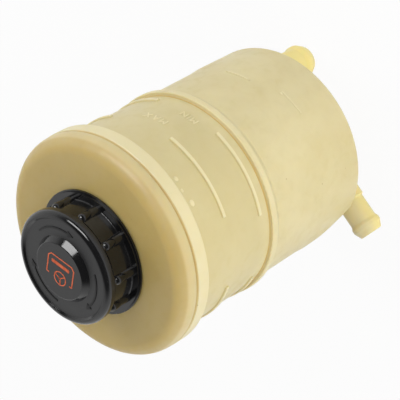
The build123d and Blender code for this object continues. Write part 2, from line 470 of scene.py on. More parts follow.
class SharedEffects:
    """Node groups that more than one finish uses."""

    def __init__(self) -> None:
        """Builds each group once."""
        self.grain = self._grain()
        self.mottle = self._mottle()
        self.band = self._band()
        self.specks = self._specks()
        self.proud = self._proud()

    @staticmethod
    def _start(name: str, output: str, inputs: dict[str, float]) -> tuple[NodeDesk, dict]:
        """Starts a group with its sockets.

        Args:
            name: Group's name.
            output: Name of its one output.
            inputs: Default values by input name.

        Returns:
            A desk on the group, and its input sockets by name with the output node under "out".
        """
        tree = bpy.data.node_groups.new(name, "ShaderNodeTree")
        for label, value in inputs.items():
            socket = tree.interface.new_socket(label, in_out="INPUT", socket_type="NodeSocketFloat")
            socket.default_value = value
        tree.interface.new_socket(output, in_out="OUTPUT", socket_type="NodeSocketFloat")
        source = tree.nodes.new("NodeGroupInput")
        sockets = {label: source.outputs[label] for label in inputs}
        sockets["out"] = tree.nodes.new("NodeGroupOutput")
        return NodeDesk(tree), sockets

    def _grain(self) -> Tree:
        """Builds a fine moulded grain over a slow waviness.

        Returns:
            The group, which puts out a height.
        """
        desk, ends = self._start("mould_grain", "Height", {"Scale": 2500.0, "Wave": 90.0, "Share": 0.5})
        place = desk.add("ShaderNodeTexCoord").outputs["Object"]
        fine = desk.add("ShaderNodeTexNoise", Vector=place, Scale=ends["Scale"], Detail=2.0)
        wave = desk.add("ShaderNodeTexNoise", Vector=place, Scale=ends["Wave"], Detail=1.0)
        rest = desk.math("SUBTRACT", 1.0, ends["Share"])
        total = desk.math("ADD", desk.math("MULTIPLY", fine.outputs[0], ends["Share"]),
                          desk.math("MULTIPLY", wave.outputs[0], rest))
        desk.feed(ends["out"], "Height", total)
        return desk.tree

    def _mottle(self) -> Tree:
        """Builds cloudy patches in a material.

        Returns:
            The group, which puts out a mask.
        """
        desk, ends = self._start("cloudy_mottle", "Mask", {"Scale": 40.0, "Low": 0.35, "High": 0.65})
        place = desk.add("ShaderNodeTexCoord").outputs["Object"]
        cloud = desk.add("ShaderNodeTexNoise", Vector=place, Scale=ends["Scale"], Detail=4.0,
                         Roughness=0.55, Distortion=0.4)
        desk.feed(ends["out"], "Mask", desk.spread(cloud.outputs[0], ends["Low"], ends["High"]))
        return desk.tree

    def _band(self) -> Tree:
        """Builds a soft level band round the axis at one height.

        Returns:
            The group, which puts out a mask.
        """
        desk, ends = self._start("height_band", "Mask", {"Middle": 0.0, "Half": 0.001, "Soft": 0.001})
        place = desk.add("ShaderNodeTexCoord").outputs["Object"]
        height = desk.add("ShaderNodeSeparateXYZ", Vector=place).outputs["Z"]
        off = desk.math("ABSOLUTE", desk.math("SUBTRACT", height, ends["Middle"]))
        far = desk.math("ADD", ends["Half"], ends["Soft"])
        desk.feed(ends["out"], "Mask", desk.spread(off, ends["Half"], far, 1.0, 0.0))
        return desk.tree

    def _specks(self) -> Tree:
        """Builds scattered small specks.

        Returns:
            The group, which puts out a mask.
        """
        desk, ends = self._start("scattered_specks", "Mask", {"Scale": 300.0, "Size": 0.12, "Rarity": 0.6})
        place = desk.add("ShaderNodeTexCoord").outputs["Object"]
        cells = desk.add("ShaderNodeTexVoronoi", Vector=place, Scale=ends["Scale"])
        near = desk.math("LESS_THAN", cells.outputs["Distance"], ends["Size"])
        chance = desk.add("ShaderNodeSeparateColor", Color=cells.outputs["Color"]).outputs[0]
        kept = desk.math("GREATER_THAN", chance, ends["Rarity"])
        desk.feed(ends["out"], "Mask", desk.math("MULTIPLY", near, kept))
        return desk.tree

    def _proud(self) -> Tree:
        """Finds what stands proud of a drafted round wall.

        Returns:
            The group, which puts out a mask.
        """
        desk, ends = self._start("proud_of_wall", "Mask", {"Radius": 0.046, "Draft": 0.025, "From": 0.006,
                                                           "Low": 0.0003, "High": 0.0007})
        place = desk.add("ShaderNodeTexCoord").outputs["Object"]
        parts = desk.add("ShaderNodeSeparateXYZ", Vector=place).outputs
        square = desk.math("ADD", desk.math("MULTIPLY", parts["X"], parts["X"]),
                           desk.math("MULTIPLY", parts["Y"], parts["Y"]))
        rise = desk.math("MULTIPLY", desk.math("SUBTRACT", parts["Z"], ends["From"]), ends["Draft"])
        over = desk.math("SUBTRACT", desk.math("SQRT", square), desk.math("ADD", ends["Radius"], rise))
        desk.feed(ends["out"], "Mask", desk.spread(over, ends["Low"], ends["High"]))
        return desk.tree


def new_material(name: str) -> tuple[Material, NodeDesk, Node]:
    """Starts a node material with only its shader.

    Args:
        name: Material's name.

    Returns:
        The material, a desk on its nodes, and its Principled shader.
    """
    material = bpy.data.materials.new(name)
    material.use_nodes = True
    desk = NodeDesk(material.node_tree)
    return material, desk, material.node_tree.nodes["Principled BSDF"]


@dataclass(frozen=True)
class Tint:
    """A colour laid over a band of heights."""

    middle: float
    half: float
    soft: float
    colour: Colour
    share: float


@dataclass(frozen=True)
class UpperWall:
    """The drafted wall between shoulder ring and weld flange, and how far a raised place stands out to take
    a painted highlight.
    """

    radius: float = 46.3
    draft: float = 0.0252
    start_z: float = 5.8
    middle: float = 25.0
    half: float = 17.0
    soft: float = 0.6
    crest: Pair = (0.3, 0.65)


@dataclass(frozen=True)
class NaturalPlastic:
    """Cream, slightly translucent moulded polyamide."""

    name: str
    pale: Colour
    deep: Colour
    tints: tuple[Tint, ...] = ()
    speck: Colour = srgb(150, 118, 70)
    subsurface: float = 0.35
    depth: float = 3.0
    rough_low: float = 0.42
    rough_high: float = 0.56
    # Paler colour laid on raised places of the upper wall, and its share: a painted highlight.
    crest: Colour = srgb(240, 229, 190)
    crest_highlight_share: float = 0.0
    wall: UpperWall = UpperWall()

    def build(self, effects: SharedEffects) -> Material:
        """Builds the material.

        Args:
            effects: Shared node groups.

        Returns:
            The material.
        """
        material, desk, shader = new_material(self.name)
        broad = desk.group(effects.mottle, Scale=26.0, Low=0.32, High=0.68)
        close = desk.group(effects.mottle, Scale=190.0, Low=0.4, High=0.75)
        share = desk.math("ADD", desk.math("MULTIPLY", broad, 0.75), desk.math("MULTIPLY", close, 0.25))
        colour = desk.mix(share, self.pale, self.deep)
        for tint in self.tints:
            band = desk.group(effects.band, Middle=tint.middle * MM, Half=tint.half * MM,
                              Soft=tint.soft * MM)
            colour = desk.mix(desk.math("MULTIPLY", band, tint.share), colour, tint.colour)
        # Painted highlight on the raised ribs of the upper wall.
        if self.crest_highlight_share:
            wall = self.wall
            raised = desk.group(effects.proud, Radius=wall.radius * MM, Draft=wall.draft,
                                From=wall.start_z * MM, Low=wall.crest[0] * MM, High=wall.crest[1] * MM)
            inside = desk.group(effects.band, Middle=wall.middle * MM, Half=wall.half * MM,
                                Soft=wall.soft * MM)
            crest = desk.math("MULTIPLY", desk.math("MULTIPLY", raised, inside), self.crest_highlight_share)
            colour = desk.mix(crest, colour, self.crest)
        dust = desk.group(effects.specks, Scale=210.0, Size=0.07, Rarity=0.93)
        colour = desk.mix(desk.math("MULTIPLY", dust, 0.4), colour, self.speck)
        desk.feed(shader, "Base Color", colour)
        desk.feed(shader, "Roughness", desk.spread(close, 0.0, 1.0, self.rough_low, self.rough_high))
        grain = desk.group(effects.grain, Scale=2600.0, Wave=110.0, Share=0.4)
        desk.bump(shader, grain, 0.16, 0.35)
        shader.inputs["IOR"].default_value = 1.5
        shader.inputs["Subsurface Weight"].default_value = self.subsurface
        shader.inputs["Subsurface Radius"].default_value = (1.0, 0.75, 0.38)
        shader.inputs["Subsurface Scale"].default_value = self.depth * MM
        return material


@dataclass(frozen=True)
class GlossBlack:
    """Glossy black moulded plastic with faint handling smears and a satin face."""

    name: str
    base: Colour
    worn: Colour
    rough_low: float = 0.13
    rough_high: float = 0.26
    rough_face: float = 0.42
    face_from: float = 80.0
    bump: float = 0.05
    dust: Colour = srgb(92, 90, 86)

    def build(self, effects: SharedEffects) -> Material:
        """Builds the material.

        Args:
            effects: Shared node groups.

        Returns:
            The material.
        """
        material, desk, shader = new_material(self.name)
        smear = desk.group(effects.mottle, Scale=75.0, Low=0.42, High=0.72)
        dust = desk.group(effects.specks, Scale=520.0, Size=0.09, Rarity=0.9)
        colour = desk.mix(desk.math("MULTIPLY", smear, 0.4), self.base, self.worn)
        colour = desk.mix(desk.math("MULTIPLY", dust, 0.25), colour, self.dust)
        desk.feed(shader, "Base Color", colour)
        gloss = desk.spread(smear, 0.0, 1.0, self.rough_low, self.rough_high)
        satin = desk.math("MULTIPLY", self._face(desk), desk.math("SUBTRACT", self.rough_face, gloss))
        desk.feed(shader, "Roughness", desk.math("ADD", gloss, satin))
        grain = desk.group(effects.grain, Scale=1500.0, Wave=160.0, Share=0.25)
        desk.bump(shader, grain, self.bump, 0.3)
        shader.inputs["IOR"].default_value = 1.5
        return material

    def _face(self, desk: NodeDesk) -> Socket:
        """Level faces at the top of the cap, as a mask.

        Args:
            desk: Nodes of the material.

        Returns:
            The mask.
        """
        place = desk.add("ShaderNodeTexCoord").outputs
        level = desk.add("ShaderNodeSeparateXYZ", Vector=place["Normal"]).outputs["Z"]
        height = desk.add("ShaderNodeSeparateXYZ", Vector=place["Object"]).outputs["Z"]
        above = desk.math("GREATER_THAN", height, self.face_from * MM)
        return desk.math("MULTIPLY", desk.spread(level, 0.93, 0.99), above)


@dataclass(frozen=True)
class DullMoulding:
    """Plain satin plastic or matt rubber of the pieces inside."""

    name: str
    base: Colour
    shade: Colour
    rough_low: float
    rough_high: float
    grain_scale: float = 1800.0
    bump: float = 0.2

    def build(self, effects: SharedEffects) -> Material:
        """Builds the material.

        Args:
            effects: Shared node groups.

        Returns:
            The material.
        """
        material, desk, shader = new_material(self.name)
        cloud = desk.group(effects.mottle, Scale=120.0, Low=0.3, High=0.7)
        desk.feed(shader, "Base Color", desk.mix(cloud, self.base, self.shade))
        desk.feed(shader, "Roughness", desk.spread(cloud, 0.0, 1.0, self.rough_low, self.rough_high))
        grain = desk.group(effects.grain, Scale=self.grain_scale, Wave=200.0, Share=0.7)
        desk.bump(shader, grain, self.bump, 0.3)
        return material


@dataclass(frozen=True)
class PrintedInk:
    """Pad-printed ink with pinholes and an uneven edge."""

    name: str
    ink: Colour
    thin: Colour
    pinhole: Colour

    def build(self, effects: SharedEffects) -> Material:
        """Builds the material.

        Args:
            effects: Shared node groups.

        Returns:
            The material.
        """
        material, desk, shader = new_material(self.name)
        cover = desk.group(effects.mottle, Scale=420.0, Low=0.38, High=0.7)
        holes = desk.group(effects.specks, Scale=1900.0, Size=0.16, Rarity=0.82)
        colour = desk.mix(cover, self.ink, self.thin)
        desk.feed(shader, "Base Color", desk.mix(desk.math("MULTIPLY", holes, 0.7), colour, self.pinhole))
        desk.feed(shader, "Roughness", desk.spread(cover, 0.0, 1.0, 0.42, 0.6))
        return material


@dataclass(frozen=True)
class WovenCloth:
    """Fine woven sleeve: threads round the strainer and along it."""

    name: str
    thread: Colour
    gap: Colour
    axis: Pair
    pitch: float = 0.6
    uprights: float = 35.0

    def build(self, effects: SharedEffects) -> Material:
        """Builds the material.

        Args:
            effects: Shared node groups.

        Returns:
            The material.
        """
        material, desk, shader = new_material(self.name)
        place = desk.add("ShaderNodeTexCoord").outputs["Object"]
        shift = desk.add("ShaderNodeMapping", Vector=place)
        shift.inputs["Location"].default_value = (-self.axis[0] * MM, -self.axis[1] * MM, 0.0)
        parts = desk.add("ShaderNodeSeparateXYZ", Vector=shift.outputs[0])
        turn = desk.math("ARCTAN2", parts.outputs["Y"], parts.outputs["X"])
        round_it = desk.math("ABSOLUTE", desk.math("SINE", desk.math("MULTIPLY", turn, self.uprights)))
        step = math.pi / (self.pitch * MM)
        along = desk.math("ABSOLUTE", desk.math("SINE", desk.math("MULTIPLY", parts.outputs["Z"], step)))
        height = desk.math("MAXIMUM", round_it, along)
        tone = desk.spread(height, 0.55, 0.9)
        cloud = desk.group(effects.mottle, Scale=150.0, Low=0.3, High=0.7)
        desk.feed(shader, "Base Color", desk.mix(desk.math("MULTIPLY", tone, 0.9), self.gap, self.thread))
        desk.feed(shader, "Roughness", desk.spread(cloud, 0.0, 1.0, 0.6, 0.8))
        desk.bump(shader, height, 0.5, 0.2)
        return material


class Palette:
    """All finishes of the reservoir, built once."""

    def __init__(self) -> None:
        """Builds the shared effects and every material."""
        effects = SharedEffects()
        # Pale painted highlight laid on the rounded weld flange, the shoulder ring and the cover's rounded
        # edge.
        rim = srgb(240, 229, 188)
        # Amber painted shade laid into the creases: the weld groove on tank and cover, and the shoulder
        # ring's upper corner.
        crease_shade = srgb(204, 172, 94)
        self.tank = NaturalPlastic(
            "natural_tank", srgb(223, 210, 163), srgb(213, 198, 146),
            # Darker band from about 7 to 53 mm: painted shade that tones down the upper wall.
            tints=(Tint(30.0, 14.0, 9.0, srgb(204, 190, 138), 0.5),
                   Tint(52.6, 2.7, 0.8, rim, 0.5), Tint(56.0, 0.2, 0.45, crease_shade, 0.8),
                   Tint(6.15, 0.1, 0.35, crease_shade, 0.9), Tint(4.3, 1.2, 0.7, rim, 0.3),
                   # Lighter, yellower tint round the spigots: partly the thick tubes' own deeper tone,
                   # partly painted light against their shade.
                   Tint(-72.0, 8.0, 8.0, srgb(244, 226, 148), 0.9)),
            # Share of the painted highlight on the upper wall's raised ribs.
            crest_highlight_share=0.6,
        ).build(effects)
        # The cover is the tank's plastic with darker colours: painted shade for its less lit upper face.
        self.cover = NaturalPlastic(
            "natural_cover_shaded", srgb(206, 184, 126), srgb(197, 174, 113),
            tints=(Tint(56.2, 0.2, 0.4, crease_shade, 0.6), Tint(58.8, 1.5, 1.5, rim, 0.3),
                   # Amber band round the neck: the cap's painted shadow on the cover.
                   Tint(64.6, 0.4, 1.4, srgb(206, 179, 104), 0.55)),
            subsurface=0.6, depth=5.0,
        ).build(effects)
        # Raised words, lines and pips take a paler copy of the plastic: painted highlight on the raised
        # marks.
        self.mark = NaturalPlastic("natural_marks_lit", srgb(232, 220, 176), srgb(224, 210, 162),
                                   subsurface=0.0).build(effects)
        # The weld bead takes a darker amber copy of the plastic: painted shade of the groove it sits in.
        self.weld = NaturalPlastic("natural_weld_shaded", srgb(206, 180, 116), srgb(188, 156, 88),
                                   subsurface=0.0).build(effects)
        self.black = GlossBlack("cap_black", srgb(20, 20, 21), srgb(34, 34, 34)).build(effects)
        self.arrow = GlossBlack("arrow_black", srgb(9, 9, 9), srgb(16, 16, 16), 0.4, 0.55, 0.6,
                                bump=0.2).build(effects)
        self.ink = PrintedInk("sign_orange", srgb(228, 104, 54), srgb(206, 88, 44),
                              srgb(40, 24, 18)).build(effects)
        self.liner = DullMoulding("liner_satin", srgb(78, 78, 78), srgb(62, 62, 62), 0.42,
                                  0.55).build(effects)
        self.rubber = DullMoulding("seal_matt", srgb(44, 44, 44), srgb(32, 32, 32), 0.7, 0.85, 2600.0,
                                   0.35).build(effects)
        self.strainer = DullMoulding("strainer_satin", srgb(224, 220, 210), srgb(212, 207, 194), 0.4,
                                     0.52).build(effects)
        self.cloth = WovenCloth("strainer_weave", srgb(222, 218, 206), srgb(120, 112, 92),
                                (-25.4, 17.3)).build(effects)


@dataclass
class CadDressing:
    """Gives the part's own solids their finishes."""

    palette: Palette

    def dress(self) -> None:
        """Assigns a material to every slot of every solid."""
        finishes = {
            "tank_body": self.palette.tank,
            "top_cover": self.palette.cover,
            "screw_cap": self.palette.black,
            "cap_seal": self.palette.rubber,
            "cap_liner": self.palette.liner,
            "vent_valve": self.palette.rubber,
            "strainer_cage": self.palette.strainer,
            "strainer_mesh": self.palette.cloth,
        }
        for name, material in finishes.items():
            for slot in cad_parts[name].material_slots:
                slot.material = material
            LOG.info("%s: %s", name, material.name)


@dataclass
class ScrewThread:
    """One helical thread that fades into its wall at both ends."""

    name: str
    side: ThreadSide
    body: Body
    slot: Slot
    wall_r: float
    start_deg: float
    depth: float = 1.15
    start_z: float = 67.6
    turns: float = 1.8
    pitch: float = 4.0
    root_half: float = 0.85
    crest_half: float = 0.4
    sunk: float = 0.3
    steps: int = 150
    fade: float = 0.09
    end_sink: float = 0.15

    def build(self, material: Material) -> Piece:
        """Models the thread from a flat profile by a screw.

        Args:
            material: Finish of the thread.

        Returns:
            The finished piece.
        """
        obj = upright_plane()
        way = self.side.value
        middle = self.wall_r + way * (self.depth - self.sunk) / 2
        with editing(obj):
            take_all()
            scaled((self.depth + self.sunk) * MM, 1.0, 2 * self.root_half * MM)
            bpy.ops.mesh.delete(type="ONLY_FACE")
            pick_points(obj, lambda place: place.x * way > 0)
            scaled(1, 1, self.crest_half / self.root_half)
            take_all()
            moved(middle, 0, self.start_z)
        apply_modifier(obj, "SCREW", axis="Z", angle=2 * math.pi * self.turns,
                       screw_offset=self.pitch * self.turns * MM, steps=self.steps, render_steps=self.steps,
                       iterations=1)
        self._fade_ends(obj)
        with editing(obj):
            take_all()
            bpy.ops.mesh.fill_holes(sides=0)
        put_in_mesh(obj, Matrix.Rotation(math.radians(self.start_deg), 4, "Z"))
        tidy_mesh(obj)
        return hand_over(obj, self.name, self.body, material, 50.0)

    def _along(self, place: Vector) -> float:
        """Tells how far along the thread a vertex lies.

        Args:
            place: The vertex's place.

        Returns:
            The turns from the thread's start.
        """
        share = math.atan2(place.y, place.x) / (2 * math.pi)
        height = (place.z / MM - self.start_z) / self.pitch
        return share + round(height - share)

    def _fade_ends(self, obj: Piece) -> None:
        """Sinks the crest into the wall over the first and last rings.

        Args:
            obj: The screwed profile.
        """
        crest_r = self.wall_r + self.side.value * self.depth
        rings = round(self.fade * self.steps / self.turns)
        one_ring = self.turns / self.steps
        with editing(obj):
            for number in range(rings):
                share = number / rings
                rise = share * (1 + self.end_sink) - self.end_sink
                target = self.wall_r + self.side.value * self.depth * rise
                scale = target / crest_r
                for at in (number * one_ring, self.turns - number * one_ring):
                    pick_points(obj, lambda place: abs(self._along(place) - at) < one_ring / 3
                                and abs(Vector(place.xy).length - crest_r * MM) < 0.02 * MM)
                    scaled(scale, scale, 1)


@dataclass
class WeldFlash:
    """Uneven bead of melt that fills the groove between tank and cover."""

    name: str = "weld_flash"
    ring_r: float = 49.75
    bead_r: float = 0.34
    height: float = 56.0
    uneven: float = 0.22
    lump: float = 2.4
    inner_pull: float = 0.996

    def build(self, material: Material) -> Piece:
        """Models the bead from a ring that a soft noise pushes about.

        Args:
            material: Finish of the bead.

        Returns:
            The finished piece.
        """
        obj = added(bpy.ops.mesh.primitive_torus_add, major_radius=self.ring_r * MM,
                    minor_radius=self.bead_r * MM, major_segments=288, minor_segments=12)
        with editing(obj):
            pick_points(obj, lambda place: place.xy.length < self.ring_r * MM)
            scaled(self.inner_pull, self.inner_pull, 1)
        put_in_mesh(obj, Matrix.Translation((0, 0, self.height * MM)))
        melt = bpy.data.textures.new("weld_melt", "CLOUDS")
        melt.noise_scale = self.lump * MM
        apply_modifier(obj, "DISPLACE", texture=melt, texture_coords="LOCAL", strength=self.uneven * MM,
                       mid_level=0.5)
        tidy_mesh(obj)
        return hand_over(obj, self.name, Body.TANK, material, 60.0)


@dataclass
class RaisedArc:
    """Short raised line round a wall."""

    name: str
    wall_r: float
    height: float
    width: float
    proud: float
    start_deg: float
    end_deg: float
    sunk: float = 0.15
    edge_share: float = 0.6

    def build(self, material: Material) -> Piece:
        """Models the line from one upright edge by a spin.

        Args:
            material: Finish of the line.

        Returns:
            The finished piece.
        """
        sweep = self.end_deg - self.start_deg
        obj = upright_plane()
        with editing(obj):
            pick_points(obj, lambda place: place.x < 0)
            bpy.ops.mesh.delete(type="VERT")
            take_all()
            scaled(0, 1, self.width * MM)
            moved(self.wall_r - self.sunk, 0, self.height)
            bpy.ops.mesh.spin(steps=max(6, round(sweep)), angle=math.radians(sweep), center=(0, 0, 0),
                              axis=(0, 0, 1))
        middle = sum((vertex.co for vertex in obj.data.vertices), Vector((0, 0, 0)))
        turn = (self.start_deg + self.end_deg) / 2 - math.degrees(math.atan2(middle.y, middle.x))
        put_in_mesh(obj, Matrix.Rotation(math.radians(turn), 4, "Z"))
        tidy_mesh(obj)
        self._outwards(obj)
        apply_modifier(obj, "SOLIDIFY", thickness=(self.proud + self.sunk) * MM, offset=1.0)
        edge = self.proud * self.edge_share * MM
        apply_modifier(obj, "BEVEL", width=edge, segments=2, limit_method="ANGLE")
        return hand_over(obj, self.name, Body.TANK, material)

    @staticmethod
    def _outwards(obj: Piece) -> None:
        """Turns an open strip's faces away from the axis.

        Args:
            obj: The strip.
        """
        face = obj.data.polygons[0]
        if face.normal.xy.dot(face.center.xy) < 0:
            with editing(obj):
                take_all()
                bpy.ops.mesh.flip_normals()


@dataclass
class RaisedWord:
    """A raised level word on the tank's wall, one letter beside the other."""

    name: str
    word: str
    wall_r: float
    height: float
    middle_deg: float
    size: float = 4.7
    proud: float = 0.24
    sunk: float = 0.2
    spacing: float = 0.95
    edge: float = 0.1

    def build(self, material: Material) -> Piece:
        """Models each letter and sets it square to the wall.

        Args:
            material: Finish of the word.

        Returns:
            The finished piece.
        """
        letters = [self._letter(letter) for letter in self.word]
        widths = [letter.dimensions.x / MM for letter in letters]
        run = -(sum(widths) + self.spacing * (len(widths) - 1)) / 2
        for letter, width in zip(letters, widths):
            degrees = self.middle_deg + math.degrees((run + width / 2) / self.wall_r)
            middle_r = self.wall_r + (self.proud - self.sunk) / 2
            put_in_mesh(letter, on_the_wall(middle_r, degrees, self.height))
            run += width + self.spacing
        word = joined(letters)
        return hand_over(word, self.name, Body.TANK, material)

    def _letter(self, letter: str) -> Piece:
        """Makes one letter as a rounded solid about the origin.

        Args:
            letter: The letter.

        Returns:
            The letter's mesh object.
        """
        text = added(bpy.ops.object.text_add)
        text.data.body = letter
        text.data.size = self.size * MM
        text.data.extrude = ((self.proud + self.sunk) / 2 - self.edge) * MM
        text.data.bevel_depth = self.edge * MM
        text.data.bevel_resolution = 2
        text.data.offset = -self.edge / 2 * MM
        text.data.resolution_u = 4
        text.data.align_x = "CENTER"
        text.data.align_y = "CENTER"
        bpy.ops.object.convert(target="MESH")
        obj = bpy.context.object
        tidy_mesh(obj)
        return obj


@dataclass
class MouldPips:
    """Small low pips that the mould left on the wall."""

    name: str = "mould_pips"
    places: tuple[tuple[float, float, float, float], ...] = (
        (47.25, 94.7, 45.0, 1.3),
        (47.3, 88.3, 45.9, 0.9),
        (47.25, 80.6, 44.7, 1.5),
        (46.5, 107.0, -32.3, 0.9),
    )
    flat: float = 0.28
    narrow: float = 0.75
    sunk_share: float = 0.1

    def build(self, material: Material) -> Piece:
        """Models each pip in a finish, sets it on the wall and gives the joined piece."""
        pips = joined([self._pip(*place) for place in self.places])
        return hand_over(pips, self.name, Body.TANK, material, 60.0)

    def _pip(self, wall_r: float, degrees: float, height: float, size: float) -> Piece:
        """Makes one flattened dome, cut level behind the wall.

        Args:
            wall_r: Wall's radius there.
            degrees: Its angle.
            height: Its height.
            size: Its radius.

        Returns:
            The pip's object.
        """
        obj = added(bpy.ops.mesh.primitive_uv_sphere_add, segments=24, ring_count=12, radius=size * MM)
        with editing(obj):
            take_all()
            scaled(1, self.narrow, self.flat)
            bpy.ops.mesh.bisect(plane_co=(0, 0, -self.sunk_share * size * MM), plane_no=(0, 0, 1),
                                use_fill=True, clear_inner=True)
        put_in_mesh(obj, on_the_wall(wall_r, degrees, height))
        tidy_mesh(obj)
        return obj


@dataclass
class RibEnds:
    """Rounded upper ends of the cap's grip ribs, close under the head."""

    name: str = "rib_ends"
    ribs: int = 10
    first_deg: float = 11.0
    axis_r: float = 24.15
    height: float = 74.9
    size: float = 2.1
    stretch: float = 1.2
    tail: float = 2.3
    sunk_share: float = 0.3

    def build(self, material: Material) -> Piece:
        """Models one end for each rib.

        Args:
            material: Finish of the cap.

        Returns:
            The finished piece.
        """
        angles = [self.first_deg + number * 360 / self.ribs for number in range(self.ribs)]
        ends = joined([self._end(degrees) for degrees in angles])
        return hand_over(ends, self.name, Body.CAP, material, 60.0)

    def _end(self, degrees: float) -> Piece:
        """Makes one drop that thins out down its rib, cut flat inside the skirt.

        Args:
            degrees: Angle of its rib.

        Returns:
            The end's object.
        """
        obj = added(bpy.ops.mesh.primitive_uv_sphere_add, segments=32, ring_count=20, radius=self.size * MM)
        with editing(obj):
            take_all()
            scaled(1, 1, self.stretch)
            pick_points(obj, lambda place: place.z < 0)
            scaled(1, 1, self.tail)
            take_all()
            bpy.ops.mesh.bisect(plane_co=(-self.sunk_share * self.size * MM, 0, 0), plane_no=(1, 0, 0),
                                use_fill=True, clear_inner=True)
        place = Matrix.Rotation(math.radians(degrees), 4, "Z")
        place.translation = round_the_axis(self.axis_r, degrees, self.height)
        put_in_mesh(obj, place)
        tidy_mesh(obj)
        return obj


@dataclass
class TurnArrow:
    """Raised curved arrow on the sunk ring of the cap's face."""

    name: str
    start_deg: float
    sweep: float
    ring_r: float = 18.6
    width: float = 0.9
    head_width: float = 3.0
    head_length: float = 3.2
    face_z: float = 81.8
    proud: float = 0.22
    sunk: float = 0.1
    edge: float = 0.06
    neck: float = 0.02
    steps: int = 28

    def build(self, material: Material) -> Piece:
        """Models the arrow from one edge by a spin, with an extruded head.

        Args:
            material: Finish of the arrow.

        Returns:
            The finished piece.
        """
        obj = added(bpy.ops.mesh.primitive_plane_add, size=1.0)
        with editing(obj):
            pick_points(obj, lambda place: place.y < 0)
            bpy.ops.mesh.delete(type="VERT")
            take_all()
            scaled(self.width * MM, 0, 1)
            moved(self.ring_r, 0, 0)
            bpy.ops.mesh.spin(steps=self.steps, angle=math.radians(self.sweep), center=(0, 0, 0),
                              axis=(0, 0, 1))
        turned = self._far_angle(obj)
        with editing(obj):
            tip = round_the_axis(self.ring_r, turned, 0)
            along = Vector((-tip.y, tip.x, 0)).normalized() * math.copysign(1.0, turned)
            pick_points(obj, lambda place: abs(math.degrees(math.atan2(place.y, place.x)) - turned) < 0.2)
            bpy.ops.mesh.extrude_region_move(TRANSFORM_OT_translate={"value": along * self.neck * MM})
            grow = self.head_width / self.width
            bpy.ops.transform.resize(value=(grow, grow, 1), center_override=tip)
            bpy.ops.mesh.extrude_region_move(TRANSFORM_OT_translate={"value": along * self.head_length * MM})
            bpy.ops.mesh.merge(type="CENTER")
        tidy_mesh(obj)
        apply_modifier(obj, "SOLIDIFY", thickness=(self.proud + self.sunk) * MM, offset=0.0)
        apply_modifier(obj, "BEVEL", width=self.edge * MM, segments=2, limit_method="ANGLE")
        middle_z = self.face_z + (self.proud - self.sunk) / 2
        turn = Matrix.Rotation(math.radians(self.start_deg), 4, "Z")
        put_in_mesh(obj, Matrix.Translation((0, 0, middle_z * MM)) @ turn)
        tidy_mesh(obj)
        return hand_over(obj, self.name, Body.CAP, material)

    def _far_angle(self, obj: Piece) -> float:
        """Angle in degrees of the spun strip's free end, which may be turned either way."""
        angles = [math.degrees(math.atan2(vertex.co.y, vertex.co.x)) for vertex in obj.data.vertices]
        return max(angles, key=abs)


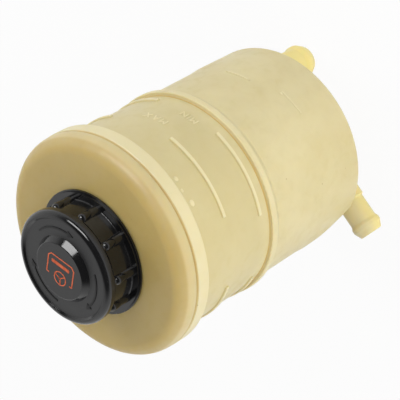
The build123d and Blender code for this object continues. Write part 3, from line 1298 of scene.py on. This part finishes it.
@dataclass
class SteeringSign:
    """Printed sign of a fluid can and a steering wheel on the cap's boss."""

    name: str = "steering_sign"
    turn_deg: float = 31.0
    boss_z: float = 84.4
    shift: Pair = (0.6, 1.4)
    can: Pair = (15.0, 10.8)
    cut: float = 1.6
    line: float = 0.55
    hook: float = 1.7
    bar: Pair = (10.0, 1.6)
    bar_at: Pair = (-0.2, 2.0)
    wheel_r: float = 3.2
    wheel_at: Pair = (0.4, -4.6)
    hub: Pair = (1.1, 0.36)
    spoke: Pair = (0.5, 0.3)
    spokes_deg: Point = (70, 190, 310)
    foot_round: float = 0.6
    bar_round: float = 0.2
    thick: float = 0.1

    def build(self, material: Material) -> Piece:
        """Models the can, its bar and the wheel, and sets them on the boss.

        Args:
            material: Finish of the print.

        Returns:
            The finished piece.
        """
        flat = joined([self._can(), self._bar(), self._hub(), *self._spokes()])
        apply_modifier(flat, "SOLIDIFY", thickness=self.thick * MM, offset=0.0)
        sign = joined([flat, self._rim()])
        place = Matrix.Translation((0, 0, (self.boss_z + self.thick / 4) * MM))
        turn = Matrix.Rotation(math.radians(self.turn_deg), 4, "Z")
        put_in_mesh(sign, place @ turn @ Matrix.Translation((self.shift[0] * MM, self.shift[1] * MM, 0)))
        return hand_over(sign, self.name, Body.CAP, material)

    def _plate(self, wide: float, high: float, at: Pair) -> Piece:
        """Adds a flat plate.

        Args:
            wide: Width in millimetres.
            high: Height in millimetres.
            at: Its middle.

        Returns:
            The plate's object.
        """
        obj = added(bpy.ops.mesh.primitive_plane_add, size=1.0)
        with editing(obj):
            take_all()
            scaled(wide * MM, high * MM, 1)
            moved(*at, 0)
        return obj

    def _can(self) -> Piece:
        """Draws the outline of a can with two cut corners, open below.

        Returns:
            The outline.
        """
        wide, high = self.can
        obj = self._plate(wide, high, (0, 0))
        with editing(obj):
            pick_points(obj, lambda place: place.y > 0)
            bpy.ops.mesh.bevel(offset=self.cut * MM, affect="VERTICES")
            pick_points(obj, lambda place: place.y < -high / 2 * MM + NEAR)
            bpy.ops.mesh.bevel(offset=self.foot_round * MM, segments=3, affect="VERTICES")
            take_all()
            bpy.ops.mesh.inset(thickness=self.line * MM)
            bpy.ops.mesh.delete(type="FACE")
            gap = (wide / 2 - self.hook) * MM
            low = (-high / 2 + self.line * 1.5) * MM
            for side in (-gap, gap):
                take_all()
                bpy.ops.mesh.bisect(plane_co=(side, 0, 0), plane_no=(1, 0, 0))
            pick_faces(obj, lambda middle, normal: middle.y < low and abs(middle.x) < gap)
            bpy.ops.mesh.delete(type="FACE")
        return obj

    def _bar(self) -> Piece:
        """Draws the thick level bar inside the can.

        Returns:
            The bar.
        """
        obj = self._plate(*self.bar, self.bar_at)
        with editing(obj):
            take_all()
            bpy.ops.mesh.bevel(offset=self.bar_round * MM, segments=2, affect="VERTICES")
        return obj

    def _rim(self) -> Piece:
        """Draws the rim of the steering wheel as a flattened ring.

        Returns:
            The rim.
        """
        obj = flat_ring(self.wheel_r, self.line / 2, self.thick / self.line, 10)
        put_in_mesh(obj, self._at_wheel())
        return obj

    def _at_wheel(self) -> Matrix:
        """Place of the wheel's middle."""
        return Matrix.Translation((self.wheel_at[0] * MM, self.wheel_at[1] * MM, 0))

    def _hub(self) -> Piece:
        """Draws the hub of the wheel as a small rounded plate.

        Returns:
            The hub.
        """
        wide, corner = self.hub
        obj = self._plate(wide, wide, self.wheel_at)
        with editing(obj):
            take_all()
            bpy.ops.mesh.bevel(offset=corner * MM, segments=4, affect="VERTICES")
        return obj

    def _spokes(self) -> list[Piece]:
        """Draws the three spokes of the wheel, each a turned plate.

        Returns:
            The spokes.
        """
        width, gap = self.spoke
        spokes = []
        for degrees in self.spokes_deg:
            obj = self._plate(width, self.wheel_r - gap, (0, self.wheel_r / 2))
            put_in_mesh(obj, self._at_wheel() @ Matrix.Rotation(math.radians(degrees), 4, "Z"))
            spokes.append(obj)
        return spokes


@dataclass
class BaseMarks:
    """Moulding marks under the floor: a broken-off gate and ejector rings."""

    base_z: float = -57.6
    gate_r: float = 2.3
    gate_h: float = 0.7
    ring_r: float = 3.0
    gate_dish: tuple[Pair, ...] = ((0.5, 0.0), (0.6, -0.35), (0.7, 0.2))
    gate_edge: float = 0.25
    ring_line: float = 0.16
    ring_flat: float = 0.8
    ring_from_axis: float = 28.0
    rings_deg: tuple[float, ...] = (250.0, 312.0, 192.0, 82.0)

    def build(self, material: Material) -> None:
        """Models the gate and the rings.

        Args:
            material: Finish of the marks.
        """
        hand_over(self._gate(), "gate_mark", Body.TANK, material)
        rings = joined([self._ring(degrees) for degrees in self.rings_deg])
        hand_over(rings, "ejector_rings", Body.TANK, material, 60.0)

    def _gate(self) -> Piece:
        """Models a low stub with a dished, broken end.

        Returns:
            The stub.
        """
        obj = added(bpy.ops.mesh.primitive_cylinder_add, vertices=40, radius=self.gate_r * MM,
                    depth=2 * self.gate_h * MM)
        low = -self.gate_h * MM
        with editing(obj):
            pick_faces(obj, lambda middle, normal: normal.z < -0.9)
            for width, depth in self.gate_dish:
                bpy.ops.mesh.inset(thickness=width * MM, depth=depth * MM)
            bpy.ops.mesh.select_mode(type="VERT")
            outer = (self.gate_r - 0.1) * MM
            pick_points(obj, lambda place: place.z < low + NEAR and place.xy.length > outer)
            bpy.ops.mesh.bevel(offset=self.gate_edge * MM, segments=3, affect="EDGES")
        put_in_mesh(obj, Matrix.Translation((0, 0, self.base_z * MM)))
        tidy_mesh(obj)
        return obj

    def _ring(self, degrees: float) -> Piece:
        """One thin witness ring.

        Args:
            degrees: Its middle's angle.

        Returns:
            The ring's object.
        """
        obj = flat_ring(self.ring_r, self.ring_line, self.ring_flat, 8)
        put_in_mesh(obj, Matrix.Translation(round_the_axis(self.ring_from_axis, degrees, self.base_z)))
        return obj


@dataclass
class Tank:
    """Details of the tank and cover that the solids leave out."""

    palette: Palette
    neck_r: float = 20.0

    def build(self) -> None:
        """Builds the thread, weld, level words, raised lines and base marks."""
        thread = ScrewThread("neck_thread", ThreadSide.OUTSIDE, Body.TANK, Slot.NATURAL, self.neck_r, 0.0)
        thread.build(self.palette.cover)
        WeldFlash().build(self.palette.weld)
        for word in (RaisedWord("level_word_low", "MIN", 46.5, 14.7, 121.2),
                     RaisedWord("level_word_high", "MAX", 46.8, 25.6, 132.0)):
            word.build(self.palette.mark)
        for line in (RaisedArc("band_line", 46.2, -27.0, 0.9, 0.28, 124.2, 140.7),
                     RaisedArc("foot_line", 46.55, -33.4, 0.7, 0.2, 92.0, 108.0)):
            line.build(self.palette.mark)
        MouldPips().build(self.palette.mark)
        BaseMarks().build(self.palette.tank)


@dataclass
class Cap:
    """Details of the screw cap: its thread, the ribs' ends, the printed sign and the turn arrows."""

    palette: Palette
    bore_r: float = 21.6

    def build(self) -> None:
        """Builds the thread, the ribs' ends, the sign and the arrows."""
        thread = ScrewThread("cap_thread", ThreadSide.INSIDE, Body.CAP, Slot.BLACK, self.bore_r, 180.0)
        thread.build(self.palette.black)
        RibEnds().build(self.palette.black)
        SteeringSign().build(self.palette.ink)
        for name, start in (("turn_arrow_1", 58.0), ("turn_arrow_2", 178.0), ("turn_arrow_3", 298.0)):
            TurnArrow(name, start, 56.0).build(self.palette.arrow)


@dataclass(frozen=True)
class SoftBox:
    """One studio lamp, square or slim, that looks at the reservoir."""

    name: str
    direction: Point
    distance: float
    size: float
    power: float
    duty: LampDuty
    above: float = 0.0
    slim: float = 1.0

    def build(self, target: Vector) -> None:
        """Adds the lamp.

        Args:
            target: Place that it looks at.
        """
        back = Vector(self.direction).normalized()
        aim = target + Vector((0, 0, self.above * MM))
        lamp = added(bpy.ops.object.light_add, type="AREA", location=aim + back * self.distance)
        lamp.name = self.name
        lamp.rotation_euler = back.to_track_quat("Z", "Y").to_euler()
        lamp.data.shape = "RECTANGLE"
        lamp.data.size = self.size
        lamp.data.size_y = self.size * self.slim
        lamp.data.energy = self.power
        lamp.visible_camera = False
        lamp.visible_diffuse = self.duty is LampDuty.SOFT
        lamp.visible_glossy = self.duty is LampDuty.GLINT


@dataclass
class Studio:
    """White floor, plain light and the photograph's camera."""

    eye: Point = (0.0525, 0.5701, 0.4745)
    right: Point = (0.5556, 0.5025, -0.6624)
    up: Point = (-0.8289, 0.3969, -0.3941)
    back: Point = (0.0649, 0.7681, 0.6370)
    lens: float = 153.0
    sensor: float = 36.0
    ambient: float = 0.42
    floor_glow: float = 0.93
    floor_size: float = 6.0
    floor_drop: float = 0.2
    dark_side: float = 0.06
    lamps: tuple[SoftBox, ...] = (
        SoftBox("key_lamp", (-0.57, 0.55, 0.6), 1.1, 0.5, 1.6, LampDuty.SOFT),
        SoftBox("side_lamp", (0.15, 0.9, 0.3), 1.2, 0.7, 5.0, LampDuty.SOFT),
        SoftBox("table_lamp", (0.9, 0.3, 0.15), 1.2, 0.6, 5.0, LampDuty.SOFT),
        SoftBox("left_lamp", (-0.9, -0.25, 0.5), 1.1, 0.45, 3.3, LampDuty.SOFT),
        SoftBox("rim_glint", (-0.57, 0.55, 0.57), 1.0, 0.75, 8.4, LampDuty.GLINT, 70.0, 0.45),
    )

    def build(self, low: Vector, high: Vector) -> None:
        """Builds the floor, lamps, world and camera.

        Args:
            low: Lowest corner of the reservoir.
            high: Highest corner of the reservoir.
        """
        bpy.context.scene.view_settings.view_transform = "Standard"
        self._floor(low.z)
        for lamp in self.lamps:
            lamp.build((low + high) / 2)
        self._world()
        self._camera()

    @staticmethod
    def _seen(desk: NodeDesk) -> Socket:
        """Finds the rays that show the background rather than light the reservoir.

        Args:
            desk: Nodes of the floor or of the world.

        Returns:
            Their mask.
        """
        path = desk.add("ShaderNodeLightPath")
        seen = desk.math("MAXIMUM", path.outputs["Is Camera Ray"], path.outputs["Is Glossy Ray"])
        return desk.math("MAXIMUM", seen, path.outputs["Is Transmission Ray"])

    def _floor(self, height: float) -> None:
        """Adds a pale floor that looks white and keeps a faint shadow.

        Args:
            height: Height of the floor.
        """
        floor = added(bpy.ops.mesh.primitive_plane_add, size=self.floor_size,
                      location=(0, 0, height - self.floor_drop * MM))
        floor.name = "studio_floor"
        material = bpy.data.materials.new("floor_white")
        material.use_nodes = True
        desk = NodeDesk(material.node_tree)
        material.node_tree.nodes.clear()
        paper = desk.add("ShaderNodeBsdfDiffuse", Color=(0.86, 0.86, 0.86, 1.0))
        glow = desk.add("ShaderNodeEmission", Color=(1.0, 1.0, 1.0, 1.0), Strength=1.0)
        mixed = desk.add("ShaderNodeMixShader")
        desk.feed(mixed, 0, desk.math("MULTIPLY", self._seen(desk), self.floor_glow))
        desk.feed(mixed, 1, paper.outputs[0])
        desk.feed(mixed, 2, glow.outputs[0])
        desk.add("ShaderNodeOutputMaterial", Surface=mixed.outputs[0])
        floor.data.materials.append(material)
        floor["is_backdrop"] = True

    def _world(self) -> None:
        """Sets a white surround that lights the reservoir evenly, with a dark room before it for gloss."""
        world = bpy.data.worlds.new("studio_white")
        bpy.context.scene.world = world
        world.use_nodes = True
        desk = NodeDesk(world.node_tree)
        world.node_tree.nodes.clear()
        way = desk.add("ShaderNodeTexCoord").outputs["Generated"]
        facing = world.node_tree.nodes.new("ShaderNodeVectorMath")
        facing.operation = "DOT_PRODUCT"
        desk.feed(facing, 0, way)
        desk.feed(facing, 1, self.back)
        room = desk.spread(facing.outputs["Value"], 0.0, 0.5, 1.0, self.dark_side)
        glossy = desk.add("ShaderNodeLightPath").outputs["Is Glossy Ray"]
        unlit = desk.math("MULTIPLY", glossy, desk.math("SUBTRACT", 1.0, room))
        bright = desk.spread(self._seen(desk), 0.0, 1.0, self.ambient, 1.0)
        strength = desk.math("MULTIPLY", bright, desk.math("SUBTRACT", 1.0, unlit))
        sky = desk.add("ShaderNodeBackground", Color=(1.0, 1.0, 1.0, 1.0), Strength=strength)
        desk.add("ShaderNodeOutputWorld", Surface=sky.outputs[0])

    def _camera(self) -> None:
        """Adds the camera where the photograph was taken from."""
        camera = added(bpy.ops.object.camera_add)
        camera.name = "photo_camera"
        place = Matrix((self.right, self.up, self.back)).transposed().to_4x4()
        place.translation = self.eye
        camera.matrix_world = place
        camera.data.lens = self.lens
        camera.data.sensor_width = self.sensor
        camera.data.clip_start = 0.01
        camera.data.clip_end = 20.0
        bpy.context.scene.camera = camera


def main() -> None:
    """Builds and dresses the reservoir and its studio."""
    logging.basicConfig(level=logging.INFO, format="%(name)s: %(message)s")
    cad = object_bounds()
    palette = Palette()
    CadDressing(palette).dress()
    Tank(palette).build()
    Cap(palette).build()
    Studio().build(*cad)


if __name__ == "__main__":
    main()
